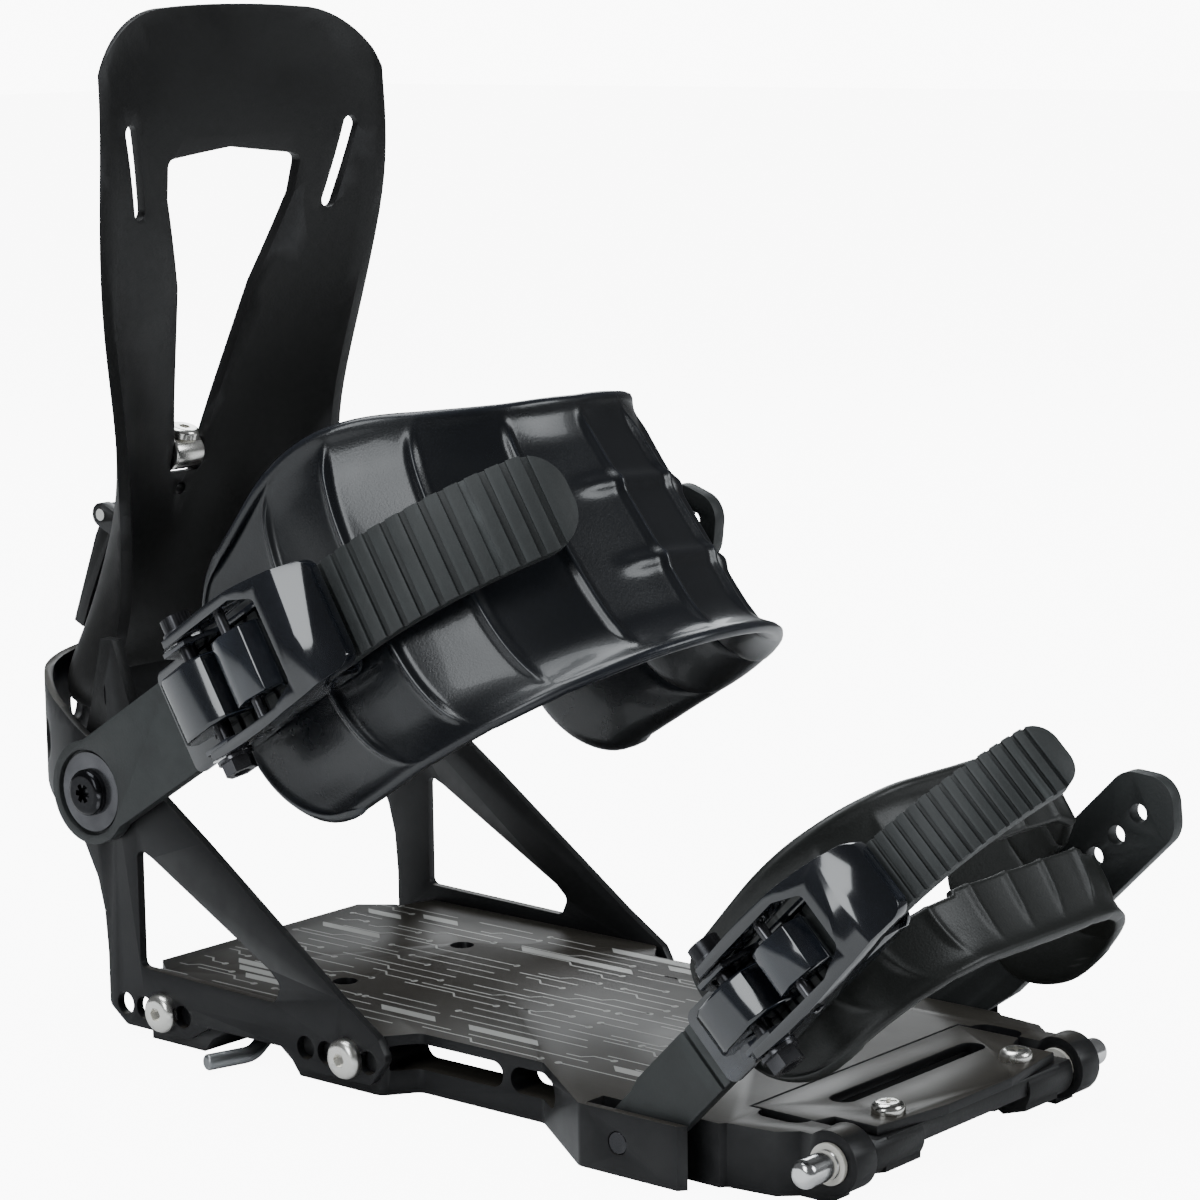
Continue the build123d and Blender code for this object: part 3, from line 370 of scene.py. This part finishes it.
def breakEdges(nodeName, pieceName, radius, spec):
    piece = bpy.data.objects.new(pieceName, nodes[nodeName].data.copy())
    bpy.context.scene.collection.objects.link(piece)
    pickOnly(piece)
    bpy.ops.object.mode_set(mode="EDIT")
    bpy.ops.mesh.select_all(action="SELECT")
    bpy.ops.mesh.remove_doubles(threshold=spec["merge"])
    bpy.ops.mesh.dissolve_limited(angle_limit=math.radians(spec["flatAngle"]))
    bpy.ops.object.mode_set(mode="OBJECT")
    bpy.ops.mesh.customdata_custom_splitnormals_clear()
    bevel = piece.modifiers.new("brokenEdges", "BEVEL")
    bevel.width = radius * mm
    bevel.segments = spec["segments"]
    bevel.limit_method = "ANGLE"
    bevel.angle_limit = math.radians(spec["sharpAngle"])
    bevel.use_clamp_overlap = True
    bpy.ops.object.modifier_apply(modifier=bevel.name)
    bpy.ops.object.shade_smooth_by_angle(angle=math.radians(spec["sharpAngle"]))
    dress(piece, finishOf[slotOf[nodeName]])
    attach(piece, bodyOf[nodeName])
    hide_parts(nodeName)


for nodeName, (pieceName, radius) in edgeBreaks.items():
    breakEdges(nodeName, pieceName, radius, edgeSet)
print("edges broken on", len(edgeBreaks), "hard parts")

# moulded pads: a grid bent round the foot, then ribbed, flared and given its wall
anklePadSet = {
    "pivot": (106.2, 60.1), "tilt": 32.0, "half": 50.5, "corner": 48.0, "start": 50.0,
    "taperLow": 26.0, "taperHigh": 19.0, "neckLow": 12.0, "neckHigh": 7.0,
    "frontLow": 146.0, "frontHigh": 139.0, "low": -39.0, "high": 25.0, "wall": 3.0,
    "archNear": 14.0, "archFar": 8.0, "archAt": 0.19, "archWide": 0.155,
    "columns": 290, "rows": 40, "ribs": (0.13, 0.22, 0.31, 0.405, 0.50, 0.585, 0.67, 0.76, 0.86),
    "ribHeight": 1.5, "ribWidth": 0.0040, "dish": 0.8, "bands": (0.34, 0.66), "bandsFrom": 0.44,
    "flareLow": 5.0, "flareHigh": 1.6, "flareReach": 11.0, "bead": 1.3, "slot": None}
toePadSet = {
    "pivot": (-59.8, 7.2), "tilt": 45.6, "half": 48.7, "corner": 30.0, "start": 33.0,
    "taperLow": 26.0, "taperHigh": 6.0, "neckLow": 4.0, "neckHigh": 12.0,
    "frontLow": 79.0, "frontHigh": 87.5, "low": -18.8, "high": 20.0, "wall": 2.8,
    "archNear": 1.8, "archFar": 1.0, "archAt": 0.17, "archWide": 0.15,
    "columns": 200, "rows": 36, "ribs": (0.16, 0.24, 0.32, 0.40, 0.48, 0.56, 0.64, 0.72, 0.80, 0.88),
    "ribHeight": 0.7, "ribWidth": 0.005, "dish": 0.4, "bands": (), "bandsFrom": 0.4,
    "flareLow": 0.6, "flareHigh": 1.4, "flareReach": 5.0, "bead": 0.7, "slot": (-3.6, 4.6, 62.0)}
reliefSet = {"dishFade": 9.0, "ribClear": 3.0, "ribFade": 5.0, "bandStart": 0.03, "bandEnd": 0.06,
             "bandWidth": 0.022, "beadWidth": 1.5, "endMargin": 1.0}
middleReach = 0.09   # metres from a pad's pivot to the middle of the space inside it


def rimHeight(spec, along):
    near = spec["archNear"] * math.exp(-((along - spec["archAt"]) / spec["archWide"]) ** 2)
    far = spec["archFar"] * math.exp(-((1 - along - spec["archAt"]) / spec["archWide"]) ** 2)
    return spec["high"] + near + far


def bandPoint(spec, along, across):
    high = rimHeight(spec, along)
    n = spec["low"] + across * (high - spec["low"])
    climb = (n - spec["low"]) / (spec["high"] - spec["low"])
    front = spec["frontLow"] + climb * (spec["frontHigh"] - spec["frontLow"])
    edge, neck, taper = (high, spec["neckHigh"], spec["taperHigh"]) if n > 0 else (
        -spec["low"], spec["neckLow"], spec["taperLow"])
    beyond = max(0.0, abs(n) - neck) / (edge - neck)
    first = spec["start"] + taper * (1 - math.sqrt(max(0.0, 1 - min(1.0, beyond) ** 2)))
    corner, flat = spec["corner"], spec["half"] - spec["corner"]
    straight = front - corner - first
    quarter = corner * math.pi / 2
    length = 2 * (straight + quarter + flat)
    d = along * length
    mirrored = d > length / 2
    if mirrored:
        d = length - d
    if d < straight:
        x, u, nx, nu = -spec["half"], first + d, -1.0, 0.0
    elif d < straight + quarter:
        turn = (d - straight) / corner
        nx, nu = -math.cos(turn), math.sin(turn)
        x, u = -flat + corner * nx, front - corner + corner * nu
    else:
        x, u, nx, nu = -flat + (d - straight - quarter), front, 0.0, 1.0
    if mirrored:
        x, nx = -x, -nx
    return x, u, n, nx, nu, length


def padRelief(spec, shared, along, across, length):
    width = rimHeight(spec, along) - spec["low"]
    fromLow, fromHigh = across * width, (1 - across) * width
    lift = 0.0
    ribs = (0.0,) + spec["ribs"] + (1.0,)
    for low, high in zip(ribs, ribs[1:]):
        if low <= along <= high:
            share = (along - low) / (high - low)
            inside = min(1.0, fromLow / shared["dishFade"]) * min(1.0, fromHigh / shared["dishFade"])
            lift -= spec["dish"] * inside * math.sin(math.pi * share)
    clear = min(1.0, max(0.0, (min(fromLow, fromHigh) - shared["ribClear"]) / shared["ribFade"]))
    for rib in spec["ribs"]:
        lift += clear * spec["ribHeight"] * math.exp(-((along - rib) / spec["ribWidth"]) ** 2)
    if along > spec["bandsFrom"]:
        fade = min(1.0, (along - spec["bandsFrom"]) / shared["bandStart"])
        fade *= min(1.0, (1 - along) / shared["bandEnd"])
        for band in spec["bands"]:
            lift += fade * spec["ribHeight"] * math.exp(-((across - band) / shared["bandWidth"]) ** 2)
    around = math.sin(math.pi * min(1.0, max(0.0, along))) ** 2
    reach = spec["flareReach"]
    lift += spec["flareLow"] * around * max(0.0, 1 - fromLow / reach) ** 2
    lift += spec["flareHigh"] * around * max(0.0, 1 - fromHigh / reach) ** 2
    margin = shared["endMargin"]
    rim = min(fromLow, fromHigh, along * length + margin, (1 - along) * length + margin)
    lift += spec["bead"] * math.exp(-(rim / shared["beadWidth"]) ** 2)
    return lift


def makePad(pieceName, nodeName, spec, shared):
    bpy.ops.object.select_all(action="DESELECT")
    bpy.ops.mesh.primitive_grid_add(x_subdivisions=spec["columns"], y_subdivisions=spec["rows"], size=1)
    pad = bpy.context.object
    pad.name = pieceName
    tilt = math.radians(spec["tilt"])
    y0, z0 = spec["pivot"]
    outward = Vector((0, math.sin(tilt), math.cos(tilt)))
    forward = Vector((0, -math.cos(tilt), math.sin(tilt)))
    keep = []
    for vertex in pad.data.vertices:
        along, across = vertex.co.x + 0.5, vertex.co.y + 0.5
        x, u, n, nx, nu, length = bandPoint(spec, along, across)
        lift = padRelief(spec, shared, along, across, length)
        x, u = x + nx * lift, u + nu * lift
        keep.append((n, u))
        vertex.co = (Vector((x, y0, z0)) + forward * u + outward * n) * mm
    if spec["slot"]:
        low, high, first = spec["slot"]
        sheet = bmesh.new()
        sheet.from_mesh(pad.data)
        sheet.verts.ensure_lookup_table()
        holes = [f for f in sheet.faces
                 if all(low < keep[v.index][0] < high and keep[v.index][1] > first for v in f.verts)]
        bmesh.ops.delete(sheet, geom=holes, context="FACES")
        sheet.to_mesh(pad.data)
        sheet.free()
    pickOnly(pad)
    bpy.ops.object.mode_set(mode="EDIT")
    bpy.ops.mesh.select_all(action="SELECT")
    bpy.ops.mesh.normals_make_consistent(inside=False)
    bpy.ops.object.mode_set(mode="OBJECT")
    centre = Vector((0, y0, z0)) * mm + forward * middleReach
    face = pad.data.polygons[len(pad.data.polygons) // 2]
    if face.normal.dot(face.center - centre) < 0:
        bpy.ops.object.mode_set(mode="EDIT")
        bpy.ops.mesh.select_all(action="SELECT")
        bpy.ops.mesh.flip_normals()
        bpy.ops.object.mode_set(mode="OBJECT")
    wall = pad.modifiers.new("wall", "SOLIDIFY")
    wall.thickness = spec["wall"] * mm
    wall.offset = -1
    wall.use_even_offset = False
    bpy.ops.object.modifier_apply(modifier=wall.name)
    rim = pad.modifiers.new("rim", "SUBSURF")
    rim.levels = rim.render_levels = 1
    bpy.ops.object.modifier_apply(modifier=rim.name)
    bpy.ops.object.shade_smooth()
    dress(pad, finishOf[slotOf[nodeName]])
    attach(pad, bodyOf[nodeName])
    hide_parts(nodeName)


makePad("anklePadShell", "ankle_pad", anklePadSet, reliefSet)
makePad("toePadShell", "toe_pad", toePadSet, reliefSet)
print("pads moulded")

# etched line pattern on the deck
etchSet = {
    "left": -40.0, "right": 40.0, "lane": 4.2, "near": -60.0, "far": 101.0,
    "top": 14.0, "proud": 0.02, "seed": 11,
    "line": 0.5, "overlap": 0.4, "bar": 3.0, "barFrom": 10, "dot": 0.9, "dotSides": 10, "startWithin": 10,
    "runs": (12, 42), "lastRun": 8, "gaps": (2.0, 9.0), "jogs": (0.3, 0.7), "jogShift": 0.5,
    "barShare": 0.16, "jogShare": 0.58, "dotsAbove": 0.8,
    "holes": ((20.8, 57.3), (-20.8, 57.3)), "holeAside": 5.2, "holeAlong": 5}
etchInk = {"metal": 0.3, "handlingScale": 60, "roughFrom": 0.45, "roughTo": 0.65, "dark": (0.30, 0.30, 0.28),
           "pale": (0.46, 0.46, 0.44)}


def etchFinish(spec):
    ink = bpy.data.materials.new("etchedLineFinish")
    ink.use_nodes = True
    tree = ink.node_tree
    shader = tree.nodes["Principled BSDF"]
    shader.inputs["Metallic"].default_value = spec["metal"]
    handling = tree.nodes.new("ShaderNodeGroup")
    handling.node_tree = handlingGroup
    handling.inputs["Scale"].default_value = spec["handlingScale"]
    handling.inputs["Low"].default_value = spec["roughFrom"]
    handling.inputs["High"].default_value = spec["roughTo"]
    tone = tree.nodes.new("ShaderNodeMix")
    tone.data_type = "RGBA"
    tone.inputs["A"].default_value = (*spec["dark"], 1)
    tone.inputs["B"].default_value = (*spec["pale"], 1)
    tree.links.new(handling.outputs["Cloud"], tone.inputs["Factor"])
    tree.links.new(tone.outputs["Result"], shader.inputs["Base Color"])
    tree.links.new(handling.outputs["Roughness"], shader.inputs["Roughness"])
    return ink


def clearOfHoles(spec, x, start, end):
    margin = spec["holeAlong"]
    return not any(abs(x - holeX) < spec["holeAside"] and start - margin < holeY < end + margin
                   for holeX, holeY in spec["holes"])


def makeEtching(spec, ink):
    draw = random.Random(spec["seed"])
    flat = bmesh.new()
    z = spec["top"] + spec["proud"]

    def outline(points):
        flat.faces.new([flat.verts.new(Vector(point) * mm) for point in points])

    def strip(points, width):
        half = width / 2
        for (xa, ya), (xb, yb) in zip(points, points[1:]):
            run = Vector((xb - xa, yb - ya, 0)).normalized()
            aside = Vector((-run.y, run.x, 0)) * half
            over = run * half * spec["overlap"]
            a, b = Vector((xa, ya, z)) - over, Vector((xb, yb, z)) + over
            outline((a - aside, b - aside, b + aside, a + aside))

    def dot(x, y):
        turns = [k * 2 * math.pi / spec["dotSides"] for k in range(spec["dotSides"])]
        outline([(x + spec["dot"] * math.cos(turn), y + spec["dot"] * math.sin(turn), z) for turn in turns])

    lanes = int((spec["right"] - spec["left"]) / spec["lane"])
    for lane in range(lanes + 1):
        x = spec["left"] + lane * spec["lane"]
        y = spec["near"] + draw.uniform(0, spec["startWithin"])
        while y < spec["far"] - spec["lastRun"]:
            end = min(spec["far"], y + draw.uniform(*spec["runs"]))
            kind = draw.random()
            side = draw.choice((-1, 1))
            inside = spec["left"] < x + side * spec["lane"] < spec["right"]
            clear = clearOfHoles(spec, x, y, end)
            if clear and kind < spec["barShare"] and end - y > spec["barFrom"]:   # filled bar with slanted ends
                w = spec["bar"] / 2
                outline(((x - w, y, z), (x + w, y + 2 * w, z), (x + w, end, z), (x - w, end - 2 * w, z)))
            elif clear and kind < spec["jogShare"] and inside:   # line that jogs towards the next lane
                middle = y + (end - y) * draw.uniform(*spec["jogs"])
                shift = side * spec["lane"] * spec["jogShift"]
                strip([(x, y), (x, middle), (x + shift, middle + abs(shift)), (x + shift, end)], spec["line"])
                dot(x, y)
            elif clear:
                strip([(x, y), (x, end)], spec["line"])
                if kind > spec["dotsAbove"]:
                    dot(x, end)
            y = end + draw.uniform(*spec["gaps"])
    flat.normal_update()
    for face in flat.faces:
        if face.normal.z < 0:
            face.normal_flip()
    mesh = bpy.data.meshes.new("deckEtching")
    flat.to_mesh(mesh)
    flat.free()
    lines = bpy.data.objects.new("deckEtching", mesh)
    bpy.context.scene.collection.objects.link(lines)
    dress(lines, etchFinish(ink))
    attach(lines, "base")


makeEtching(etchSet, etchInk)
print("deck etched")
